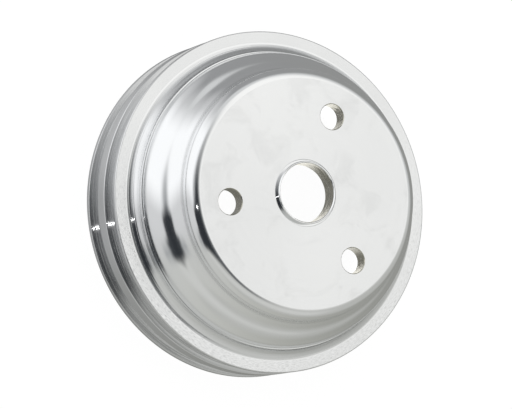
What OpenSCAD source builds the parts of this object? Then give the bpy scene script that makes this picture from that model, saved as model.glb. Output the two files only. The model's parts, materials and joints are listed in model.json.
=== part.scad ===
// Two-groove V-belt pulley turned from one piece of aluminium.
// It lies on the rear face of its rim: +Z is the shaft axis, towards the hub face.

/* [Rim] */
// Outside diameter of the rim
rim_d = 158.8; // [150:0.1:175]
// Inside diameter of the rim behind the bell
rim_bore_d = 127; // [118:0.5:128]
// Width of the flat ring on the front of the rim
ring_w = 5.4; // [5.2:0.1:6.2]
// Rounding of the rim's corners and of the groove edges
rim_edge_r = 0.5; // [0.2:0.1:0.8]

/* [Belt grooves] */
// Number of belt grooves
groove_count = 2; // [1:1:3]
// Width of a groove at the outside diameter
groove_w = 10.3; // [9:0.1:11.5]
// Included angle between the two flanks of a groove
groove_deg = 36; // [34:1:40]
// Radius of the rounded root of a groove
groove_root_r = 1.9; // [1.5:0.1:2.4]
// Distance between the middles of neighbouring grooves
groove_pitch = 17.5; // [13.5:0.1:20]
// Width of the land in front of the front groove
front_land = 2.1; // [1.5:0.1:4]
// Width of the land behind the rear groove
rear_land = 2.6; // [1.5:0.1:4]

/* [Bell] */
// Height of the hub face above the ring on the rim
hub_rise = 33.4; // [30:0.1:40]
// Diameter of the flat hub face
hub_face_d = 105; // [100:0.5:106]
// Radius of the rounded shoulder round the hub face
shoulder_r = 5.1; // [4:0.1:6]
// Diameter of the bell where it swells out above the foot
roll_d = 137.2; // [135:0.1:138]
// Steepest flare of the bell wall, measured from the shaft axis
flare_deg = 57; // [50:1:60]
// Radius of the outer curve of the bell wall, above the step
roll_curve_r = 13.5; // [11:0.1:14.5]
// Radius of the inner curve of the bell wall, under the shoulder
neck_curve_r = 10.6; // [8:0.1:12.5]
// Height above the ring of the small step that ends the bell wall
step_rise = 6; // [5.8:0.1:6.5]
// Width of that step
step_w = 0.5; // [0.3:0.1:0.8]
// Rounding at the edge of that step
step_edge_r = 0.3; // [0.1:0.1:0.3]

/* [Hub] */
// Diameter of the centre bore
bore_d = 27; // [20:0.1:30]
// Wall of the thin pilot lip round the bore
lip_wall = 0.9; // [0.7:0.1:2]
// Height of the pilot lip above the hub face
lip_h = 1.9; // [1:0.1:4]
// Width of the relief groove at the foot of the lip
relief_w = 1; // [0.6:0.1:1.5]
// Depth of that relief groove
relief_depth = 0.3; // [0.2:0.1:0.6]
// Width of its sloping outer side
relief_slope_w = 0.2; // [0.1:0.1:0.4]
// Thickness of the web that the bolts clamp
web_t = 7; // [5:0.1:9]
// Number of bolt holes
bolt_count = 3; // [3:1:6]
// Diameter of the circle through the bolt holes
bolt_circle_d = 76.4; // [60:0.1:80]
// Diameter of a bolt hole
bolt_hole_d = 11.8; // [8:0.1:13]
// Broken edge at both ends of the bore and the bolt holes
hole_edge = 0.3; // [0.2:0.1:0.6]

/* [Hollow] */
// Least radius of the hollow under the shoulder
hollow_r = 52; // [48:0.5:53]
// Radius of the inside corner under the web
hollow_corner_r = 4; // [2:0.5:6]
// Radius of the bend between the inside of the bell and the rim bore
hollow_bend_r = 10; // [6:1:14]

/* [Hidden] */

$fn = 128;
// Angle between neighbouring points of a rounded corner
arc_step_deg = 4;
// Cutters reach this far past the faces they cut
past = 1;
// Direction of the first bolt hole, from +X
first_bolt_deg = -90;
// Height of the cone inside the bell, from just above the ring
cone_foot_rise = 1;
cone_top_rise = 24;
// Straight wall kept between the two curves of the bell when they would otherwise overlap
least_straight = 0.02;

rim_r = rim_d / 2;
rim_bore_r = rim_bore_d / 2;
bore_r = bore_d / 2;
lip_r = bore_r + lip_wall;
relief_r = lip_r + relief_w;
roll_r = roll_d / 2;
foot_r = roll_r + step_w;
neck_r = hub_face_d / 2 + shoulder_r;
foot_cove_r = rim_r - ring_w - foot_r;

rim_w = rear_land + (groove_count - 1) * groove_pitch + groove_w + front_land;
hub_z = rim_w + hub_rise;
web_z = hub_z - web_t;
step_z = rim_w + step_rise;
lip_z = hub_z + lip_h;

// Bell wall: a cove under the shoulder runs into a roll above the step.
half_turn = tan(flare_deg / 2);
wall_slope = (roll_r - neck_r) / sin(flare_deg);
curve_fit = min(1, (wall_slope - least_straight) / ((roll_curve_r + neck_curve_r) * half_turn));
roll_corner_z = step_z + roll_curve_r * curve_fit * half_turn;
neck_corner_z = roll_corner_z + (roll_r - neck_r) / tan(flare_deg);

// Groove: the apex is where the two flanks would meet.
half_deg = groove_deg / 2;
apex_depth = groove_w / 2 / tan(half_deg);

// Inside of the bell: a cone between the corner under the web and the rim bore.
cone_foot_z = rim_w + cone_foot_rise;
cone_slope = (rim_bore_r - hollow_r) / (cone_top_rise - cone_foot_rise);
web_corner_r = rim_bore_r - cone_slope * (web_z - cone_foot_z);

// Points of the arc that rounds the corner at b, on the way from a to c.
function unit(v) = v / norm(v);
function rounded(a, b, c, r) =
    let (
        u = unit(a - b),
        w = unit(c - b),
        half = acos(u * w) / 2,
        centre = b + unit(u + w) * r / sin(half),
        start = b + u * r / tan(half) - centre,
        turn = 180 - 2 * half,
        side = cross(b - a, c - b) > 0 ? 1 : -1,
        steps = ceil(turn / arc_step_deg)
    )
    [for (i = [0 : steps]) let (t = side * turn * i / steps)
        centre + [start.x * cos(t) - start.y * sin(t), start.x * sin(t) + start.y * cos(t)]];

// An outline from corners [radius, height, rounding]; a rounding of 0 keeps the corner sharp.
function at(corner) = [corner[0], corner[1]];
function outline(corners) =
    let (n = len(corners))
    [for (i = [0 : n - 1])
        let (
            a = at(corners[(i + n - 1) % n]),
            b = at(corners[i]),
            c = at(corners[(i + 1) % n]),
            r = corners[i][2]
        )
        each (r == 0 ? [b] : rounded(a, b, c, r))];

// Corners of one groove whose rear edge is at height z.
function groove(z) = [
    [rim_r, z, rim_edge_r],
    [rim_r - apex_depth, z + groove_w / 2, groove_root_r],
    [rim_r, z + groove_w, rim_edge_r]
];

grooves = [for (i = [0 : groove_count - 1]) each groove(rear_land + i * groove_pitch)];

section = concat(
    // rear face of the rim, the grooves, and the ring in front of them
    [[rim_bore_r, 0, rim_edge_r], [rim_r, 0, rim_edge_r]],
    grooves,
    [[rim_r, rim_w, rim_edge_r]],
    // foot cove, step and bell wall
    [
        [foot_r, rim_w, foot_cove_r],
        [foot_r, step_z, step_edge_r],
        [roll_r, step_z, 0],
        [roll_r, roll_corner_z, roll_curve_r * curve_fit],
        [neck_r, neck_corner_z, neck_curve_r * curve_fit]
    ],
    // shoulder, hub face, relief groove and pilot lip
    [
        [neck_r, hub_z, shoulder_r],
        [relief_r, hub_z, 0],
        [relief_r - relief_slope_w, hub_z - relief_depth, 0],
        [lip_r, hub_z - relief_depth, 0],
        [lip_r, lip_z - hole_edge, 0],
        [lip_r - hole_edge, lip_z, 0],
        [bore_r + hole_edge, lip_z, 0],
        [bore_r, lip_z - hole_edge, 0]
    ],
    // bore, underside of the web and inside of the bell
    [
        [bore_r, web_z + hole_edge, 0],
        [bore_r + hole_edge, web_z, 0],
        [web_corner_r, web_z, hollow_corner_r],
        [rim_bore_r, cone_foot_z, hollow_bend_r]
    ]
);

module bolt_hole() {
    translate([0, 0, web_z - past]) cylinder(d = bolt_hole_d, h = web_t + 2 * past);
    for (end = [0, 1])
        translate([0, 0, hub_z - end * web_t]) mirror([0, 0, 1 - end])
            translate([0, 0, -past])
                cylinder(r1 = bolt_hole_d / 2 + hole_edge + past, r2 = bolt_hole_d / 2, h = past + hole_edge);
}

module pulley() {
    color("silver")
        difference() {
            rotate_extrude() polygon(outline(section));
            for (i = [0 : bolt_count - 1])
                rotate([0, 0, first_bolt_deg + i * 360 / bolt_count])
                    translate([bolt_circle_d / 2, 0, 0]) bolt_hole();
        }
}

pulley();
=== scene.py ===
"""Looks of a two-groove V-belt pulley turned from one piece of aluminium."""

import json
import math

import bpy
from bpy.props import FloatProperty, FloatVectorProperty, IntProperty, PointerProperty
from mathutils import Matrix, Vector


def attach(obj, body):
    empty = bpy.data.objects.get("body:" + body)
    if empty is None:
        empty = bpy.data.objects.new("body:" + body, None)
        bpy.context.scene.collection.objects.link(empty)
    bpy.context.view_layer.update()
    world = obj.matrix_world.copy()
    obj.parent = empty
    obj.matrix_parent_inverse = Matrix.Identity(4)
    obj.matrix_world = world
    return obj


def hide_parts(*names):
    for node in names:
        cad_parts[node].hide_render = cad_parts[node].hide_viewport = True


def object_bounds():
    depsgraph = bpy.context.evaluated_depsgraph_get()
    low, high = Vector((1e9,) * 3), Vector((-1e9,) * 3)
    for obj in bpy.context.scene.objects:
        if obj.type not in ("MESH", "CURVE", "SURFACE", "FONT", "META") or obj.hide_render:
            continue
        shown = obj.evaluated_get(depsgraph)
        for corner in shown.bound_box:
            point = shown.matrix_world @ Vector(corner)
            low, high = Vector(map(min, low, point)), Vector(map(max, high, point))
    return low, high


bl_info = {
    "name": "Turned Belt Pulley",
    "version": (1, 0, 0),
    "blender": (4, 5, 0),
    "location": "3D View > Sidebar > Pulley",
    "description": "Turns a V-belt pulley, drills it, finishes its surfaces and sets up its stage",
    "category": "Mesh",
}

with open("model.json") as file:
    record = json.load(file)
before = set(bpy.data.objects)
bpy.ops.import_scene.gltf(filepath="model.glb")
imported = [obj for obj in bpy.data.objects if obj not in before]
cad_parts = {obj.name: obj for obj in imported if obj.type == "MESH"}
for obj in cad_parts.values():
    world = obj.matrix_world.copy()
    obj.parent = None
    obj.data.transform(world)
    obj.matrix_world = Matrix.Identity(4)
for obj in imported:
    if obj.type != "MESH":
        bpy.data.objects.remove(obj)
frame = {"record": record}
cad_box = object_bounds()

BODY = "pulley"
PIECE = "turned_pulley"
MM = 0.001
# Points nearer than this are one point, and heights nearer than this are the same
MERGE_DISTANCE = 2e-6
# Longest step along a rounded corner, and the fewest steps that a corner is given
ARC_STEP = 0.00035
LEAST_ARC_STEPS = 3
# Height above the ring at which the cone inside the bell starts and ends
CONE_FOOT_RISE = 0.001
CONE_TOP_RISE = 0.024
# How far a cutter reaches past the faces it cuts, and how many faces go round it
CUTTER_PAST = 0.001
CUTTER_FACETS = 96
# Faces that meet at less than this angle are shaded as one curve
SMOOTH_ANGLE = 28


def mount(name):
    """The record's mount of that name."""
    return next(m for m in frame["record"]["mounts"] if m["name"] == name)


def mount_height(name):
    """Height of a mount above the rear face."""
    return mount(name)["pos_m"][2]


def mount_size(name, key):
    """One of a mount's sizes, in metres."""
    return mount(name)["dims"][key] * MM


def length(name, default, description):
    """A property for a length in metres."""
    return FloatProperty(
        name=name, description=description, default=default, min=0.0, unit="LENGTH", precision=5
    )


def angle(name, default_deg, description):
    """A property for an angle, whose default is given in degrees."""
    return FloatProperty(
        name=name, description=description, default=math.radians(default_deg), unit="ROTATION"
    )


def shade(name, default, description):
    """A property for a colour."""
    return FloatVectorProperty(
        name=name, description=description, default=default, size=3, min=0.0, max=4.0, subtype="COLOR"
    )


class PulleySizes(bpy.types.PropertyGroup):
    """Sizes of the pulley's section and holes."""

    rim_radius: length("Rim radius", cad_box[1].x, "Outside radius of the rim")
    rim_width: length("Rim width", 0.0325, "Height of the flat ring above the rear face")
    rim_bore_radius: length("Rim bore radius", 0.0635, "Inside radius of the rim behind the bell")
    ring_width: length("Ring width", 0.0054, "Width of the flat ring on the front of the rim")
    edge_radius: length("Edge radius", 0.0005, "Rounding of the rim's corners and groove edges")
    groove_width: length("Groove width", 0.0103, "Width of a belt groove at the rim")
    groove_angle: angle("Groove angle", 36, "Angle between the two flanks of a groove")
    groove_root_radius: length("Groove root radius", 0.0019, "Rounding of the root of a groove")
    roll_radius: length("Roll radius", 0.0686, "Radius of the bell where it swells out above the foot")
    step_rise: length("Step rise", 0.006, "Height above the ring of the small step round the bell")
    step_width: length("Step width", 0.0005, "Width of the small step")
    step_edge_radius: length("Step edge radius", 0.0003, "Rounding at the edge of the small step")
    flare_angle: angle("Flare angle", 57, "Steepest flare of the bell wall, from the shaft axis")
    roll_curve_radius: length("Roll curve radius", 0.0135, "Radius of the bell wall's outer curve")
    neck_curve_radius: length("Neck curve radius", 0.0106, "Radius of the bell wall's inner curve")
    hub_face_radius: length("Hub face radius", 0.0525, "Radius of the flat part of the hub face")
    shoulder_radius: length("Shoulder radius", 0.0051, "Rounding round the hub face")
    relief_width: length("Relief width", 0.001, "Width of the relief groove round the pilot lip")
    relief_depth: length("Relief depth", 0.0003, "Depth of that relief groove")
    relief_slope_width: length("Relief slope", 0.0002, "Width of the relief groove's sloping side")
    hole_edge: length("Hole edge", 0.0003, "Broken edge of the bore and the bolt holes")
    hollow_radius: length("Hollow radius", 0.052, "Least radius of the hollow under the shoulder")
    hollow_corner_radius: length("Hollow corner", 0.004, "Inside corner under the web")
    hollow_bend_radius: length("Hollow bend", 0.010, "Bend between the bell's inside and the rim bore")
    facets: IntProperty(name="Facets", description="Faces round the pulley", default=288, min=48, max=512)
    first_bolt: angle("First bolt hole", -90, "Direction of the first bolt hole, from +X")


class PulleyFinish(bpy.types.PropertyGroup):
    """Colours of the machined surfaces."""

    metal: shade("Metal", (0.90, 0.905, 0.91), "Polished aluminium")
    turned_metal: shade("Turned metal", (0.83, 0.835, 0.84), "Aluminium left by the turning tool")
    drilled_metal: shade("Drilled metal", (0.58, 0.56, 0.48), "Walls left by the drill")


class PulleyStage(bpy.types.PropertyGroup):
    """Camera and floor."""

    view_azimuth: angle("View azimuth", 6.63, "Direction of the camera, from -Y towards +X")
    view_elevation: angle("View elevation", 62.91, "Height of the camera above the horizon")
    view_roll: angle("View roll", 75.87, "Turn of the camera about its line of sight")
    view_distance: length("View distance", 1.3852, "Distance from the camera to the aim point")
    view_aim: FloatVectorProperty(
        name="View aim",
        description="Point that the camera looks at",
        default=(0.00043, -0.00696, 0.02894),
        size=3,
        subtype="TRANSLATION",
        precision=5,
    )
    view_lens: FloatProperty(
        name="Lens", description="Focal length in millimetres", default=210.94, unit="CAMERA"
    )
    floor_size: length("Floor size", 24.0, "Side of the square floor")
    floor_shade: shade("Floor", (0.12, 0.12, 0.12), "Colour of the floor")
    floor_glow: FloatProperty(
        name="Floor glow", description="Light that the floor adds of its own", default=0.95
    )
    glow_height: length("Glow height", 0.045, "Height above the floor from which the glow is laid out")


# ---------------------------------------------------------------- modelling helpers


def deselect_all():
    """Leave edit mode, with nothing selected."""
    if bpy.context.object and bpy.context.object.mode != "OBJECT":
        bpy.ops.object.mode_set(mode="OBJECT")
    bpy.ops.object.select_all(action="DESELECT")


def only(obj):
    """Make this object the only one selected, and the active one."""
    deselect_all()
    obj.select_set(True)
    bpy.context.view_layer.objects.active = obj


def edit(obj, mode="VERT"):
    """Start to edit an object's points, or its faces."""
    only(obj)
    bpy.ops.object.mode_set(mode="EDIT")
    bpy.ops.mesh.select_mode(type=mode)


def start_point(name, radius, height):
    """A new mesh of one vertex in the XZ plane, left in edit mode with the vertex selected."""
    deselect_all()
    bpy.ops.mesh.primitive_plane_add(size=MM, location=(radius, 0, height))
    bpy.ops.object.transform_apply(location=True)
    obj = bpy.context.object
    obj.name = name
    obj.data.name = name
    edit(obj)
    bpy.ops.mesh.select_all(action="SELECT")
    bpy.ops.mesh.merge(type="CENTER")
    return obj


def run_to(here, there):
    """Extrude the selected vertex along a straight run of the outline."""
    step = there - here
    if step.length > MERGE_DISTANCE:
        bpy.ops.mesh.extrude_region_move(TRANSFORM_OT_translate={"value": (step.x, 0, step.y)})
    return there


def corner_arc(before, corner, after, rounding):
    """Start, centre and turn of the arc that rounds a corner of the outline."""
    to_before = (before - corner).normalized()
    to_after = (after - corner).normalized()
    half = to_before.angle(to_after) / 2
    start = corner + to_before * (rounding / math.tan(half))
    end = corner + to_after * (rounding / math.tan(half))
    centre = corner + (to_before + to_after).normalized() * (rounding / math.sin(half))
    turn = math.pi - 2 * half
    cross = (corner - before).cross(after - corner)
    return start, end, centre, math.copysign(turn, cross)


def draw_outline(name, corners):
    """A closed outline through [radius, height, rounding] corners: straight runs and spun arcs."""
    points = [Vector((r, z)) for r, z, _ in corners]
    count = len(corners)
    arcs = []
    for i, (_, _, rounding) in enumerate(corners):
        after = points[(i + 1) % count]
        arcs.append(corner_arc(points[i - 1], points[i], after, rounding) if rounding else None)
    here = arcs[0][0] if arcs[0] else points[0]
    obj = start_point(name, here.x, here.y)
    for point, arc in zip(points, arcs):
        if arc is None:
            here = run_to(here, point)
            continue
        start, end, centre, turn = arc
        run_to(here, start)
        rounding = (start - centre).length
        bpy.ops.mesh.spin(
            steps=max(LEAST_ARC_STEPS, math.ceil(abs(turn) * rounding / ARC_STEP)),
            angle=turn,
            center=(centre.x, 0, centre.y),
            axis=(0, 1, 0),
        )
        here = end
    run_to(here, arcs[0][0] if arcs[0] else points[0])
    bpy.ops.mesh.select_all(action="SELECT")
    bpy.ops.mesh.remove_doubles(threshold=MERGE_DISTANCE)
    return obj


def spin_outline(obj, centre, steps):
    """Spin the outline round a vertical axis into a closed body, left in edit mode."""
    bpy.ops.mesh.select_all(action="SELECT")
    bpy.ops.mesh.spin(steps=steps, angle=math.tau, center=centre, axis=(0, 0, 1))
    bpy.ops.mesh.select_all(action="SELECT")
    bpy.ops.mesh.remove_doubles(threshold=MERGE_DISTANCE)
    bpy.ops.mesh.normals_make_consistent(inside=False)
    return obj


# ---------------------------------------------------------------- shape


def groove_corners(sizes, middle):
    """The corners of one belt groove, from its rear edge to its front edge."""
    half = sizes.groove_width / 2
    depth = half / math.tan(sizes.groove_angle / 2)
    return [
        (sizes.rim_radius, middle - half, sizes.edge_radius),
        (sizes.rim_radius - depth, middle, sizes.groove_root_radius),
        (sizes.rim_radius, middle + half, sizes.edge_radius),
    ]


def rim_corners(sizes):
    """Rear face, grooves and the outer corner of the ring."""
    corners = [
        (sizes.rim_bore_radius, 0, sizes.edge_radius),
        (sizes.rim_radius, 0, sizes.edge_radius),
    ]
    for name in ("rear_belt_groove", "front_belt_groove"):
        corners += groove_corners(sizes, mount_height(name))
    return corners + [(sizes.rim_radius, sizes.rim_width, sizes.edge_radius)]


def bell_corners(sizes):
    """Foot cove, step and the two curves of the bell wall, up to the hub face."""
    foot_radius = sizes.roll_radius + sizes.step_width
    neck_radius = sizes.hub_face_radius + sizes.shoulder_radius
    step_height = sizes.rim_width + sizes.step_rise
    roll_corner = step_height + sizes.roll_curve_radius * math.tan(sizes.flare_angle / 2)
    neck_corner = roll_corner + (sizes.roll_radius - neck_radius) / math.tan(sizes.flare_angle)
    return [
        (foot_radius, sizes.rim_width, sizes.rim_radius - sizes.ring_width - foot_radius),
        (foot_radius, step_height, sizes.step_edge_radius),
        (sizes.roll_radius, step_height, 0),
        (sizes.roll_radius, roll_corner, sizes.roll_curve_radius),
        (neck_radius, neck_corner, sizes.neck_curve_radius),
        (neck_radius, mount_height("hub_face"), sizes.shoulder_radius),
    ]


def hub_corners(sizes):
    """Relief groove, pilot lip and bore, down to the underside of the web."""
    hub = mount_height("hub_face")
    web = mount_height("bolt_head_face")
    top = cad_box[1].z
    bore = mount_size("centre_bore", "r_mm")
    lip = mount_size("pilot_lip", "r_mm")
    relief = lip + sizes.relief_width
    edge = sizes.hole_edge
    return [
        (relief, hub, 0),
        (relief - sizes.relief_slope_width, hub - sizes.relief_depth, 0),
        (lip, hub - sizes.relief_depth, 0),
        (lip, top - edge, 0),
        (lip - edge, top, 0),
        (bore + edge, top, 0),
        (bore, top - edge, 0),
        (bore, web + edge, 0),
        (bore + edge, web, 0),
    ]


def hollow_corners(sizes):
    """Inside of the bell, from the web to the rim bore."""
    web = mount_height("bolt_head_face")
    cone_foot = sizes.rim_width + CONE_FOOT_RISE
    slope = (sizes.rim_bore_radius - sizes.hollow_radius) / (CONE_TOP_RISE - CONE_FOOT_RISE)
    return [
        (sizes.rim_bore_radius - slope * (web - cone_foot), web, sizes.hollow_corner_radius),
        (sizes.rim_bore_radius, cone_foot, sizes.hollow_bend_radius),
    ]


class PULLEY_OT_turn_body(bpy.types.Operator):
    """Turn the pulley's body: draw its section and spin it round the shaft axis"""

    bl_idname = "pulley.turn_body"
    bl_label = "Turn the body"

    def execute(self, context):
        sizes = context.scene.pulley_sizes
        section = rim_corners(sizes) + bell_corners(sizes) + hub_corners(sizes) + hollow_corners(sizes)
        body = draw_outline(PIECE, section)
        spin_outline(body, (0, 0, 0), sizes.facets)
        bpy.ops.object.mode_set(mode="OBJECT")
        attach(body, "root")
        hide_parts(BODY)
        return {"FINISHED"}


class PULLEY_OT_drill_bolt_holes(bpy.types.Operator):
    """Drill the bolt holes and break their edges with one set of cutters"""

    bl_idname = "pulley.drill_bolt_holes"
    bl_label = "Drill the bolt holes"

    def execute(self, context):
        sizes = context.scene.pulley_sizes
        body = bpy.data.objects[PIECE]
        hub = mount_height("hub_face")
        web = mount_height("bolt_head_face")
        hole = mount_size("bolt_holes", "hole_r_mm")
        circle = mount_size("bolt_holes", "pcd_mm") / 2
        count = mount("bolt_holes")["dims"]["count"]
        wide = hole + sizes.hole_edge + CUTTER_PAST
        cutter = draw_outline(
            "bolt_hole_cutter",
            [
                (circle, web - CUTTER_PAST, 0),
                (circle + wide, web - CUTTER_PAST, 0),
                (circle + hole, web + sizes.hole_edge, 0),
                (circle + hole, hub - sizes.hole_edge, 0),
                (circle + wide, hub + CUTTER_PAST, 0),
                (circle, hub + CUTTER_PAST, 0),
            ],
        )
        spin_outline(cutter, (circle, 0, 0), CUTTER_FACETS)
        bpy.ops.transform.rotate(value=-sizes.first_bolt, orient_axis="Z", center_override=(0, 0, 0))
        bpy.ops.mesh.spin(
            steps=count - 1,
            dupli=True,
            angle=math.tau * (count - 1) / count,
            center=(0, 0, 0),
            axis=(0, 0, 1),
        )
        bpy.ops.object.mode_set(mode="OBJECT")
        only(body)
        drill = body.modifiers.new("Bolt holes", "BOOLEAN")
        drill.operation = "DIFFERENCE"
        drill.solver = "EXACT"
        drill.object = cutter
        bpy.ops.object.modifier_apply(modifier=drill.name)
        bpy.data.objects.remove(cutter)
        return {"FINISHED"}


# ---------------------------------------------------------------- node helpers


def node(tree, kind, place, **settings):
    """A new node, at its place in the editor and with its settings."""
    made = tree.nodes.new(kind)
    made.location = place
    for key, value in settings.items():
        setattr(made, key, value)
    return made


def feed(tree, socket, value):
    """Link another node's output to an input, or set the input to a plain value."""
    if isinstance(value, bpy.types.NodeSocket):
        tree.links.new(value, socket)
    else:
        socket.default_value = value


def math_node(tree, place, operation, *inputs):
    """Output of a Math node."""
    made = node(tree, "ShaderNodeMath", place, operation=operation)
    for socket, value in zip(made.inputs, inputs):
        feed(tree, socket, value)
    return made.outputs[0]


def vector_node(tree, place, operation, *inputs):
    """Output of a Vector Math node whose inputs are all vectors."""
    made = node(tree, "ShaderNodeVectorMath", place, operation=operation)
    for socket, value in zip(made.inputs, inputs):
        feed(tree, socket, value)
    return made.outputs["Value" if operation in ("DOT_PRODUCT", "LENGTH") else "Vector"]


def scaled(tree, place, vector, factor):
    """A vector or colour times a factor."""
    made = node(tree, "ShaderNodeVectorMath", place, operation="SCALE")
    feed(tree, made.inputs[0], vector)
    feed(tree, made.inputs["Scale"], factor)
    return made.outputs["Vector"]


def split_vector(tree, place, vector):
    """The X, Y and Z of a vector."""
    made = node(tree, "ShaderNodeSeparateXYZ", place)
    feed(tree, made.inputs[0], vector)
    return made.outputs["X"], made.outputs["Y"], made.outputs["Z"]


def mix_colours(tree, place, factor, first, second, label=""):
    """A mix of two colours: the first where the factor is 0, the second where it is 1."""
    made = node(tree, "ShaderNodeMix", place, data_type="RGBA", label=label)
    feed(tree, made.inputs["Factor"], factor)
    feed(tree, made.inputs["A"], first)
    feed(tree, made.inputs["B"], second)
    return made.outputs["Result"]


def map_range(tree, place, value, start, end, low, high, curve="LINEAR"):
    """A value that runs from low to high while the input runs from start to end."""
    made = node(tree, "ShaderNodeMapRange", place, interpolation_type=curve)
    named = {"Value": value, "From Min": start, "From Max": end, "To Min": low, "To Max": high}
    for name, given in named.items():
        feed(tree, made.inputs[name], given)
    return made.outputs[0]


def noise(tree, place, where, scale, detail, roughness=0.5, distortion=0.0):
    """A noise texture's value, about 0.5."""
    made = node(tree, "ShaderNodeTexNoise", place, noise_dimensions="3D")
    named = {
        "Vector": where,
        "Scale": scale,
        "Detail": detail,
        "Roughness": roughness,
        "Distortion": distortion,
    }
    for name, given in named.items():
        feed(tree, made.inputs[name], given)
    return made.outputs[0]


def group_sockets(tree, inputs, outputs):
    """Named sockets of a node group: (name, socket type, default) in, (name, socket type) out."""
    for name, kind, default in inputs:
        socket = tree.interface.new_socket(name=name, in_out="INPUT", socket_type=kind)
        socket.default_value = default
    for name, kind in outputs:
        tree.interface.new_socket(name=name, in_out="OUTPUT", socket_type=kind)


def principled(name):
    """A new material with its tree cleared to an output and a Principled BSDF."""
    material = bpy.data.materials.new(name)
    material.use_nodes = True
    tree = material.node_tree
    tree.nodes.clear()
    out = node(tree, "ShaderNodeOutputMaterial", (700, 0))
    shader = node(tree, "ShaderNodeBsdfPrincipled", (400, 0))
    tree.links.new(shader.outputs[0], out.inputs[0])
    return material, tree, shader


def node_of_type(tree, kind):
    """The tree's node of that type."""
    return next(n for n in tree.nodes if n.type == kind)


# ---------------------------------------------------------------- marks on the metal


def turning_marks_group():
    """Fine rings left by a tool round the shaft axis.

    Rings is a value about 0.5, Tone a slow change over the surface, and Radius the distance from the
    axis. Normal leans with each ring across the tool's path, so that highlights spread across the
    rings and stay narrow along them.
    """
    found = bpy.data.node_groups.get("Turning marks")
    if found:
        return found
    tree = bpy.data.node_groups.new("Turning marks", "ShaderNodeTree")
    group_sockets(
        tree,
        [
            ("Rings per Metre", "NodeSocketFloat", 2500.0),
            ("Waviness", "NodeSocketFloat", 0.4),
            ("Lean", "NodeSocketFloat", 0.1),
            ("Tone Size", "NodeSocketFloat", 18.0),
        ],
        [
            ("Rings", "NodeSocketFloat"),
            ("Tone", "NodeSocketFloat"),
            ("Radius", "NodeSocketFloat"),
            ("Normal", "NodeSocketVector"),
        ],
    )
    enter = node(tree, "NodeGroupInput", (-1200, 0))
    leave = node(tree, "NodeGroupOutput", (900, 0))
    here = node(tree, "ShaderNodeTexCoord", (-1200, -200)).outputs["Object"]
    normal = node(tree, "ShaderNodeNewGeometry", (0, 300)).outputs["Normal"]

    # rings: noise stretched along the tool's path
    x, y, z = split_vector(tree, (-1000, -200), here)
    x_squared = math_node(tree, (-820, -100), "MULTIPLY", x, x)
    radius_squared = math_node(tree, (-660, -100), "MULTIPLY_ADD", y, y, x_squared)
    radius = math_node(tree, (-500, -100), "SQRT", radius_squared)
    bearing = math_node(tree, (-660, -300), "ARCTAN2", y, x)
    density = enter.outputs["Rings per Metre"]
    stretched = node(tree, "ShaderNodeCombineXYZ", (-180, -140))
    feed(tree, stretched.inputs["X"], math_node(tree, (-340, -60), "MULTIPLY", radius, density))
    feed(tree, stretched.inputs["Y"], math_node(tree, (-340, -200), "MULTIPLY", z, density))
    waves = math_node(tree, (-340, -340), "MULTIPLY", bearing, enter.outputs["Waviness"])
    feed(tree, stretched.inputs["Z"], waves)
    rings = noise(tree, (0, -100), stretched.outputs[0], scale=1.0, detail=3.0, roughness=0.65)
    tone = noise(tree, (0, -360), here, scale=enter.outputs["Tone Size"], detail=2.0)

    # lean: the normal tips across the path by the ring's value
    path = vector_node(tree, (180, 420), "CROSS_PRODUCT", (0, 0, 1), here)
    path = vector_node(tree, (320, 420), "NORMALIZE", path)
    across = vector_node(tree, (460, 420), "CROSS_PRODUCT", path, normal)
    centred = math_node(tree, (180, 100), "SUBTRACT", rings, 0.5)
    slope = math_node(tree, (320, 100), "MULTIPLY", centred, enter.outputs["Lean"])
    leaning = vector_node(tree, (740, 300), "ADD", normal, scaled(tree, (600, 300), across, slope))
    leaning = vector_node(tree, (860, 300), "NORMALIZE", leaning)

    for name, value in (("Rings", rings), ("Tone", tone), ("Radius", radius), ("Normal", leaning)):
        feed(tree, leave.inputs[name], value)
    return tree


def scuffs_group():
    """Faint irregular rubbed patches: 1 in the middle of a scuff, 0 on clean metal."""
    tree = bpy.data.node_groups.new("Scuffs", "ShaderNodeTree")
    group_sockets(tree, [("Size", "NodeSocketFloat", 40.0)], [("Mask", "NodeSocketFloat")])
    enter = node(tree, "NodeGroupInput", (-400, 0))
    leave = node(tree, "NodeGroupOutput", (400, 0))
    here = node(tree, "ShaderNodeTexCoord", (-400, -200)).outputs["Object"]
    rubbed = noise(
        tree, (-200, 0), here, scale=enter.outputs["Size"], detail=8.0, roughness=0.62, distortion=0.8
    )
    mask = map_range(tree, (100, 0), rubbed, start=0.48, end=0.72, low=0.0, high=1.0, curve="SMOOTHSTEP")
    feed(tree, leave.inputs["Mask"], mask)
    return tree


def dull_base_colour(tree, place, factor):
    """Multiply whatever feeds the base colour by a factor."""
    base = node_of_type(tree, "BSDF_PRINCIPLED").inputs["Base Color"]
    tree.links.new(scaled(tree, place, base.links[0].from_socket, factor), base)


def scuff(material, size, depth):
    """Dull the metal a little in rubbed patches."""
    tree = material.node_tree
    marks = node(tree, "ShaderNodeGroup", (-500, 400), node_tree=scuffs_group())
    marks.inputs["Size"].default_value = size
    factor = math_node(tree, (-300, 400), "MULTIPLY_ADD", marks.outputs["Mask"], -depth, 1.0)
    dull_base_colour(tree, (80, 300), factor)


def paint_shade_outwards(material, inner, outer, factor):
    """Painted shade: darken the metal from one radius out to another, standing in for the darker
    reflections near the rim.
    """
    tree = material.node_tree
    radius = tree.nodes["Turning marks"].outputs["Radius"]
    painted_shade = map_range(tree, (-100, 350), radius, start=inner, end=outer, low=1.0, high=factor)
    dull_base_colour(tree, (80, 200), painted_shade)


# ---------------------------------------------------------------- materials


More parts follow.
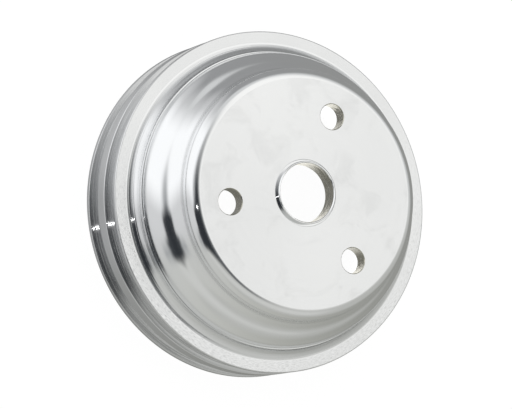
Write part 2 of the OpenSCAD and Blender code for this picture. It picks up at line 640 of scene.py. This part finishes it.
def machined_metal(name, tint, roughness, spread, lean, rings, waviness, anisotropy, contrast=0.05):
    """Aluminium with tool rings in its roughness and normal, and a slow change of tone."""
    material, tree, shader = principled(name)
    shader.inputs["Metallic"].default_value = 1.0
    shader.inputs["Anisotropic"].default_value = anisotropy
    # a quarter turn lays the spread of the highlights across the rings
    shader.inputs["Anisotropic Rotation"].default_value = 0.25
    tangent = node(tree, "ShaderNodeTangent", (200, -500), direction_type="RADIAL", axis="Z")
    tree.links.new(tangent.outputs[0], shader.inputs["Tangent"])
    marks = node(tree, "ShaderNodeGroup", (-500, 0), node_tree=turning_marks_group(), name="Turning marks")
    marks.inputs["Rings per Metre"].default_value = rings
    marks.inputs["Waviness"].default_value = waviness
    marks.inputs["Lean"].default_value = lean
    dark = (*[c * (1 - contrast) for c in tint], 1)
    bright = (*[min(1, c * (1 + contrast)) for c in tint], 1)
    colour = mix_colours(tree, (-100, 100), marks.outputs["Tone"], dark, bright)
    tree.links.new(colour, shader.inputs["Base Color"])
    dullness = map_range(
        tree,
        (-100, -150),
        marks.outputs["Rings"],
        start=0.25,
        end=0.75,
        low=roughness - spread,
        high=roughness + spread,
    )
    tree.links.new(dullness, shader.inputs["Roughness"])
    tree.links.new(marks.outputs["Normal"], shader.inputs["Normal"])
    return material


def polished_aluminium(finish):
    """The bell, its shoulder and the pilot lip."""
    return machined_metal(
        "Polished aluminium",
        finish.metal,
        roughness=0.09,
        spread=0.015,
        lean=0.025,
        rings=2600,
        waviness=0.6,
        anisotropy=1.0,
    )


def polished_hub(finish):
    """The flat hub face, with faint scuffs."""
    material = machined_metal(
        "Polished hub",
        finish.metal,
        roughness=0.22,
        spread=0.01,
        lean=0.0,
        rings=900,
        waviness=2.0,
        anisotropy=0.4,
        contrast=0.03,
    )
    scuff(material, size=60, depth=0.075)
    return material


def faced_rim(finish):
    """The ring on the front of the rim, and the lands beside the grooves."""
    return machined_metal(
        "Faced rim",
        finish.turned_metal,
        roughness=0.17,
        spread=0.07,
        lean=0.45,
        rings=3200,
        waviness=40.0,
        anisotropy=0.5,
        contrast=0.09,
    )


def turned_grooves(finish, sizes):
    """The belt grooves, with painted shade that darkens them towards the rim."""
    material = machined_metal(
        "Turned grooves",
        finish.turned_metal,
        roughness=0.09,
        spread=0.02,
        lean=1.5,
        rings=7000,
        waviness=1.0,
        anisotropy=1.0,
    )
    inner = sizes.rim_radius - sizes.groove_width / 2
    # painted shade: the groove flanks darken towards the rim
    paint_shade_outwards(material, inner, outer=sizes.rim_radius - sizes.edge_radius, factor=0.8)
    return material


def machined_inside(finish):
    """The hollow of the bell and the rim bore."""
    return machined_metal(
        "Machined inside",
        finish.turned_metal,
        roughness=0.32,
        spread=0.08,
        lean=0.5,
        rings=1500,
        waviness=0.5,
        anisotropy=0.8,
    )


def drilled_walls(finish):
    """The walls of the bore and of the bolt holes."""
    return machined_metal(
        "Drilled walls",
        finish.drilled_metal,
        roughness=0.26,
        spread=0.12,
        lean=1.6,
        rings=1500,
        waviness=1.5,
        anisotropy=0.6,
        contrast=0.12,
    )


# ---------------------------------------------------------------- surfaces

# Height of a face's unit normal: near 1 it is level, near 0 it is an upright wall
LEVEL = 0.99
SLOPING = 0.9
FACING_IN = 0.2
UPRIGHT = 0.1


def surface_tests(sizes):
    """For each surface, a test of a face's radius, height and normal."""
    edge = sizes.edge_radius
    web = mount_height("bolt_head_face")
    hub = mount_height("hub_face")
    bore = mount_size("centre_bore", "r_mm")
    hole = mount_size("bolt_holes", "hole_r_mm")
    circle = mount_size("bolt_holes", "pcd_mm") / 2
    foot = sizes.roll_radius + sizes.step_width
    rim = sizes.rim_radius

    def on_hub(radius, height, normal):
        return abs(height - hub) < MERGE_DISTANCE and normal.z > LEVEL

    def on_rim(radius, height, normal):
        ring = abs(height - sizes.rim_width) < MERGE_DISTANCE and normal.z > LEVEL
        return ring or radius > rim - edge / 2

    def in_grooves(radius, height, normal):
        return foot < radius < rim - edge / 2 and abs(normal.z) < LEVEL

    def in_hollow(radius, height, normal):
        inside = height < web + MERGE_DISTANCE and radius < sizes.rim_bore_radius + edge
        return inside and normal.z < FACING_IN

    def in_holes(radius, height, normal):
        bolt = abs(radius - circle) < hole + edge and abs(normal.z) < SLOPING and web < height < hub
        return bolt or (radius < bore + MERGE_DISTANCE and abs(normal.z) < UPRIGHT)

    return {"hub": on_hub, "rim": on_rim, "grooves": in_grooves, "hollow": in_hollow, "holes": in_holes}


def face_facts(polygon):
    """Radius, height and normal of a face."""
    centre = polygon.center
    return math.hypot(centre.x, centre.y), centre.z, polygon.normal


def paint(obj, slot, belongs):
    """Give the faces that belongs() accepts to a material slot."""
    edit(obj, "FACE")
    bpy.ops.mesh.select_all(action="DESELECT")
    bpy.ops.object.mode_set(mode="OBJECT")
    for polygon in obj.data.polygons:
        polygon.select = belongs(*face_facts(polygon))
    obj.active_material_index = slot
    bpy.ops.object.mode_set(mode="EDIT")
    bpy.ops.object.material_slot_assign()
    bpy.ops.object.mode_set(mode="OBJECT")


class PULLEY_OT_finish_surfaces(bpy.types.Operator):
    """Give each machined surface its finish, and shade flats flat and curves smooth"""

    bl_idname = "pulley.finish_surfaces"
    bl_label = "Finish the surfaces"

    def execute(self, context):
        sizes = context.scene.pulley_sizes
        finish = context.scene.pulley_finish
        body = bpy.data.objects[PIECE]
        tests = surface_tests(sizes)
        # a later finish takes faces from an earlier one, and the first takes what is left
        finishes = [
            (polished_aluminium(finish), None),
            (polished_hub(finish), tests["hub"]),
            (faced_rim(finish), tests["rim"]),
            (turned_grooves(finish, sizes), tests["grooves"]),
            (machined_inside(finish), tests["hollow"]),
            (drilled_walls(finish), tests["holes"]),
        ]
        for material, _ in finishes:
            body.data.materials.append(material)
        for slot, (_, belongs) in enumerate(finishes):
            if belongs:
                paint(body, slot, belongs)
        only(body)
        bpy.ops.object.shade_smooth_by_angle(angle=math.radians(SMOOTH_ANGLE))
        weigh = body.modifiers.new("Flat faces stay flat", "WEIGHTED_NORMAL")
        weigh.keep_sharp = True
        weigh.weight = 100
        bpy.ops.object.modifier_apply(modifier=weigh.name)
        return {"FINISHED"}


# ---------------------------------------------------------------- stage

# The room behind the panels: dull far off, brighter in front, cool on one side and warm on the other.
# The two azimuths are in degrees.
ROOM_FRONT = 30
ROOM_WARM_SIDE = 115
ROOM_DULL = 0.31
ROOM_BRIGHT = 0.58
COOL = (0.985, 1.0, 1.02)
WARM = (0.99, 1.0, 0.93)
# Soft panels round the studio: name, azimuth, elevation, half width, half height and softness of the
# edge in degrees, then brightness and tint. Each is laid over those before it.
PANELS = [
    ("left glow", -30, 5, 45, 70, 24, 0.68, (0.99, 1, 1.01)),
    ("far overhead softbox", -148, 54, 60, 26, 15, 0.68, (0.985, 1, 1.005)),
    ("middle of the far softbox", -160, 61, 38, 14, 10, 1.0, (1, 1, 0.985)),
    ("right wall", 110, 38, 54, 33, 22, 0.50, (0.99, 1, 0.96)),
    ("right softbox", 72, 48, 42, 20, 16, 0.62, (0.99, 1, 0.97)),
    ("left softbox", -36, 14, 25, 42, 12, 1.08, (0.99, 1, 1.01)),
    ("dark ceiling", 60, 85, 20, 11, 8, 0.115, (0.94, 1, 1.05)),
    ("black flag", -9, 67, 21, 17, 17, 0.09, (0.92, 1, 1.06)),
    ("edge of the black flag", -8, 46, 14, 8, 12, 0.36, (0.97, 1, 1.03)),
    ("black screen", 13, 58, 14, 29, 5, 0.034, (0.90, 1, 1.14)),
    ("black pole", 20, 30, 6, 11, 4, 0.045, (0.90, 1, 1.12)),
    ("foot of the black pole", 21, 10, 4, 14, 7, 0.38, (0.97, 1, 1.02)),
]
# Least share of a direction that points at a panel, which keeps the division by it safe
LEAST_AHEAD = 0.05

# Painted shade: the floor's glow is darker near the rim, between these two radii
FLOOR_RIM_SHADE = 0.55
FLOOR_RIM_SHADE_FROM = 0.075
FLOOR_RIM_SHADE_TO = 0.150
# Painted light: under the hollow the far half of the floor glows brighter, standing in for a lamp there.
# The glow fades out between the two radii, and fades in from the middle to that distance behind it.
HOLLOW_GLOW = 1.5
HOLLOW_GLOW_FROM = 0.062
HOLLOW_GLOW_TO = 0.068
HOLLOW_GLOW_BEHIND = 0.030

# The small lamp: its direction in degrees, its distance and size, and the brightness of its disc
LAMP_AZIMUTH = -5.6
LAMP_ELEVATION = 65.8
LAMP_DISTANCE = 1.4
LAMP_RADIUS = 0.005
LAMP_RADIANCE = 700
LAMP_AIM = (0, 0, 0.04)


def direction(azimuth, elevation):
    """Unit vector towards a place at that azimuth, from -Y towards +X, and elevation."""
    return Vector(
        (
            math.sin(azimuth) * math.cos(elevation),
            -math.cos(azimuth) * math.cos(elevation),
            math.sin(elevation),
        )
    )


def panel_group():
    """A soft-edged rectangle in the studio: 1 where a direction falls on the panel, 0 beside it."""
    tree = bpy.data.node_groups.new("Soft panel", "ShaderNodeTree")
    group_sockets(
        tree,
        [
            ("Direction", "NodeSocketVector", (0, 0, 0)),
            ("Facing", "NodeSocketVector", (0, 0, 1)),
            ("Across", "NodeSocketVector", (1, 0, 0)),
            ("Half Width", "NodeSocketFloat", 0.3),
            ("Half Height", "NodeSocketFloat", 0.3),
            ("Softness", "NodeSocketFloat", 0.1),
        ],
        [("Mask", "NodeSocketFloat")],
    )
    enter = node(tree, "NodeGroupInput", (-1000, 0))
    leave = node(tree, "NodeGroupOutput", (800, 0))
    towards = enter.outputs["Direction"]
    facing = enter.outputs["Facing"]
    across = enter.outputs["Across"]
    softness = enter.outputs["Softness"]
    upward = vector_node(tree, (-800, -300), "CROSS_PRODUCT", facing, across)
    faced = vector_node(tree, (-600, 200), "DOT_PRODUCT", towards, facing)
    ahead = math_node(tree, (-420, 200), "MAXIMUM", faced, LEAST_AHEAD)
    masks = []
    for row, (axis, half_name) in enumerate(((across, "Half Width"), (upward, "Half Height"))):
        y = -200 * row
        half = enter.outputs[half_name]
        aside = vector_node(tree, (-600, y), "DOT_PRODUCT", towards, axis)
        offset = math_node(tree, (-240, y), "DIVIDE", aside, ahead)
        offset = math_node(tree, (-60, y), "ABSOLUTE", offset)
        near = math_node(tree, (120, y), "SUBTRACT", half, softness)
        far = math_node(tree, (120, y - 80), "ADD", half, softness)
        masks.append(map_range(tree, (300, y), offset, near, far, 1.0, 0.0, curve="SMOOTHSTEP"))
    # a panel has no ghost on the opposite side of the studio
    in_front = math_node(tree, (-420, 400), "GREATER_THAN", faced, 0.0)
    mask = math_node(tree, (500, 0), "MULTIPLY", *masks)
    feed(tree, leave.inputs["Mask"], math_node(tree, (650, 0), "MULTIPLY", mask, in_front))
    return tree


def bare_room(tree, towards):
    """Colour of the room behind the panels, in a direction."""
    share = {}
    for side, azimuth in (("front", ROOM_FRONT), ("warm", ROOM_WARM_SIDE)):
        middle = direction(math.radians(azimuth), 0)
        turned = vector_node(tree, (-1000, 200), "DOT_PRODUCT", towards, middle)
        share[side] = math_node(tree, (-840, 200), "MULTIPLY_ADD", turned, 0.5, 0.5)
    front = math_node(tree, (-680, 200), "MULTIPLY", share["front"], share["front"])
    glow = math_node(tree, (-520, 200), "MULTIPLY_ADD", front, ROOM_BRIGHT - ROOM_DULL, ROOM_DULL)
    tint = mix_colours(tree, (-520, 400), share["warm"], (*COOL, 1), (*WARM, 1))
    return scaled(tree, (-360, 200), tint, glow)


def surroundings_group():
    """What the metal sees in each direction: a grey room with the soft panels laid over it."""
    tree = bpy.data.node_groups.new("Studio surroundings", "ShaderNodeTree")
    group_sockets(tree, [("Direction", "NodeSocketVector", (0, 0, 0))], [("Color", "NodeSocketColor")])
    enter = node(tree, "NodeGroupInput", (-400, -200))
    leave = node(tree, "NodeGroupOutput", (200 * len(PANELS) + 200, 0))
    towards = enter.outputs["Direction"]
    group = panel_group()
    colour = bare_room(tree, towards)
    for index, (name, azimuth, elevation, width, height, soft, bright, tint) in enumerate(PANELS):
        facing = direction(math.radians(azimuth), math.radians(elevation))
        across = Vector((0, 0, 1)).cross(facing).normalized()
        panel = node(tree, "ShaderNodeGroup", (200 * index - 200, -200), node_tree=group, label=name)
        tree.links.new(towards, panel.inputs["Direction"])
        panel.inputs["Facing"].default_value = facing
        panel.inputs["Across"].default_value = across
        panel.inputs["Half Width"].default_value = math.tan(math.radians(width))
        panel.inputs["Half Height"].default_value = math.tan(math.radians(height))
        panel.inputs["Softness"].default_value = math.tan(math.radians(soft))
        panel_colour = (*[bright * c for c in tint], 1)
        mask = panel.outputs["Mask"]
        colour = mix_colours(tree, (200 * index, 0), mask, colour, panel_colour, label=name)
    tree.links.new(colour, leave.inputs["Color"])
    return tree


def camera_sees(tree, place, others_see, camera_sees_this, out):
    """Link one shader to the output for camera rays, and another for all other rays."""
    seen = node(tree, "ShaderNodeLightPath", (400, 300))
    choose = node(tree, "ShaderNodeMixShader", place)
    tree.links.new(seen.outputs["Is Camera Ray"], choose.inputs[0])
    tree.links.new(others_see.outputs[0], choose.inputs[1])
    tree.links.new(camera_sees_this.outputs[0], choose.inputs[2])
    tree.links.new(choose.outputs[0], out.inputs[0])


def studio_world(scene, surroundings):
    """Soft light from the panels, and a plain white backdrop to the camera."""
    world = bpy.data.worlds.new("Studio")
    scene.world = world
    world.use_nodes = True
    tree = world.node_tree
    tree.nodes.clear()
    out = node(tree, "ShaderNodeOutputWorld", (800, 0))
    place = node(tree, "ShaderNodeTexCoord", (0, 0))
    studio = node(tree, "ShaderNodeGroup", (200, 0), node_tree=surroundings)
    tree.links.new(place.outputs["Generated"], studio.inputs["Direction"])
    lit = node(tree, "ShaderNodeBackground", (400, 0))
    tree.links.new(studio.outputs["Color"], lit.inputs["Color"])
    backdrop = node(tree, "ShaderNodeBackground", (400, -150))
    backdrop.inputs["Color"].default_value = (1, 1, 1, 1)
    camera_sees(tree, (600, 0), lit, backdrop, out)


def floor_glow_colour(tree, stage, surroundings):
    """Colour that the metal sees in the floor, which carries on the studio below the horizon.

    Each place on the floor has the studio's colour in its direction from a point above the middle, with
    painted shade near the rim and a painted pool of light under the hollow.
    """
    here = node(tree, "ShaderNodeTexCoord", (-600, -300)).outputs["Object"]
    below = vector_node(tree, (-400, -300), "SUBTRACT", here, (0, 0, stage.glow_height))
    studio = node(tree, "ShaderNodeGroup", (0, -300), node_tree=surroundings)
    tree.links.new(vector_node(tree, (-200, -300), "NORMALIZE", below), studio.inputs["Direction"])
    _, behind, _ = split_vector(tree, (-400, -600), here)
    radius = vector_node(tree, (-400, -800), "LENGTH", here)
    # painted shade on the floor's glow round the rim
    rim_shade = map_range(
        tree, (-200, -500), radius, FLOOR_RIM_SHADE_FROM, FLOOR_RIM_SHADE_TO, FLOOR_RIM_SHADE, 1.0, curve="SMOOTHSTEP"
    )
    # painted pool of light on the floor under the hollow
    inside = map_range(
        tree, (-200, -700), radius, HOLLOW_GLOW_FROM, HOLLOW_GLOW_TO, 1.0, 0.0, curve="SMOOTHSTEP"
    )
    far_half = map_range(
        tree, (-200, -900), behind, 0.0, HOLLOW_GLOW_BEHIND, 0.0, 1.0, curve="SMOOTHSTEP"
    )
    lit = math_node(tree, (0, -800), "MULTIPLY", inside, far_half)
    rim_shaded = scaled(tree, (200, -400), studio.outputs["Color"], rim_shade)
    return mix_colours(tree, (300, -500), lit, rim_shaded, (HOLLOW_GLOW, HOLLOW_GLOW, HOLLOW_GLOW, 1))


def pale_floor(stage, surroundings):
    """A plain pale floor with a faint shadow, which the metal sees as more of the studio's glow."""
    deselect_all()
    bpy.ops.mesh.primitive_plane_add(size=stage.floor_size, location=(0, 0, 0))
    floor = bpy.context.object
    floor.name = "floor"
    material, tree, shader = principled("Pale floor")
    shader.inputs["Base Color"].default_value = (*stage.floor_shade, 1)
    shader.inputs["Roughness"].default_value = 0.8
    shader.inputs["Specular IOR Level"].default_value = 0.0
    shader.inputs["Emission Color"].default_value = (1, 1, 1, 1)
    shader.inputs["Emission Strength"].default_value = stage.floor_glow
    glow = node(tree, "ShaderNodeEmission", (400, -300))
    tree.links.new(floor_glow_colour(tree, stage, surroundings), glow.inputs["Color"])
    camera_sees(tree, (800, 200), glow, shader, node_of_type(tree, "OUTPUT_MATERIAL"))
    floor.data.materials.append(material)


def small_lamp(scene):
    """A small round lamp that the camera doesn't see."""
    place = direction(math.radians(LAMP_AZIMUTH), math.radians(LAMP_ELEVATION)) * LAMP_DISTANCE
    data = bpy.data.lights.new("small lamp", "AREA")
    data.shape = "DISK"
    data.size = 2 * LAMP_RADIUS
    # a disc's power is its radiance times its area times pi
    data.energy = LAMP_RADIANCE * math.pi * math.pi * LAMP_RADIUS**2
    made = bpy.data.objects.new("small lamp", data)
    made.location = place
    made.rotation_euler = (Vector(LAMP_AIM) - place).to_track_quat("-Z", "Y").to_euler()
    made.visible_camera = False
    scene.collection.objects.link(made)


def place_camera(scene, stage):
    """A camera that looks at the aim point from its azimuth, elevation and distance."""
    data = bpy.data.cameras.new("camera")
    data.lens = stage.view_lens
    data.sensor_width = 36.0
    data.clip_end = 100.0
    camera = bpy.data.objects.new("camera", data)
    scene.collection.objects.link(camera)
    back = direction(stage.view_azimuth, stage.view_elevation)
    camera.location = Vector(stage.view_aim) + back * stage.view_distance
    turned = back.to_track_quat("Z", "Y").to_matrix() @ Matrix.Rotation(stage.view_roll, 3, "Z")
    camera.rotation_euler = turned.to_euler()
    scene.camera = camera


class PULLEY_OT_set_stage(bpy.types.Operator):
    """Set up the floor, the soft studio light and the camera"""

    bl_idname = "pulley.set_stage"
    bl_label = "Set the stage"

    def execute(self, context):
        scene = context.scene
        surroundings = surroundings_group()
        studio_world(scene, surroundings)
        pale_floor(scene.pulley_stage, surroundings)
        small_lamp(scene)
        place_camera(scene, scene.pulley_stage)
        scene.view_settings.view_transform = "Standard"
        return {"FINISHED"}


class PULLEY_PT_panel(bpy.types.Panel):
    """Sizes, finishes and steps of the belt pulley"""

    bl_label = "Belt pulley"
    bl_idname = "PULLEY_PT_panel"
    bl_space_type = "VIEW_3D"
    bl_region_type = "UI"
    bl_category = "Pulley"

    def draw(self, context):
        for group in (context.scene.pulley_sizes, context.scene.pulley_finish, context.scene.pulley_stage):
            box = self.layout.box()
            for name in group.bl_rna.properties.keys():
                if name not in ("rna_type", "name"):
                    box.prop(group, name)
        for step in STEPS:
            self.layout.operator(step.bl_idname)


GROUPS = {"pulley_sizes": PulleySizes, "pulley_finish": PulleyFinish, "pulley_stage": PulleyStage}
STEPS = [PULLEY_OT_turn_body, PULLEY_OT_drill_bolt_holes, PULLEY_OT_finish_surfaces, PULLEY_OT_set_stage]


def register():
    for kind in (*GROUPS.values(), *STEPS, PULLEY_PT_panel):
        bpy.utils.register_class(kind)
    for name, kind in GROUPS.items():
        setattr(bpy.types.Scene, name, PointerProperty(type=kind))


def unregister():
    for name in GROUPS:
        delattr(bpy.types.Scene, name)
    for kind in (PULLEY_PT_panel, *reversed(STEPS), *reversed(GROUPS.values())):
        bpy.utils.unregister_class(kind)


def main():
    register()
    bpy.ops.pulley.turn_body()
    bpy.ops.pulley.drill_bolt_holes()
    bpy.ops.pulley.finish_surfaces()
    bpy.ops.pulley.set_stage()


if __name__ == "__main__":
    main()
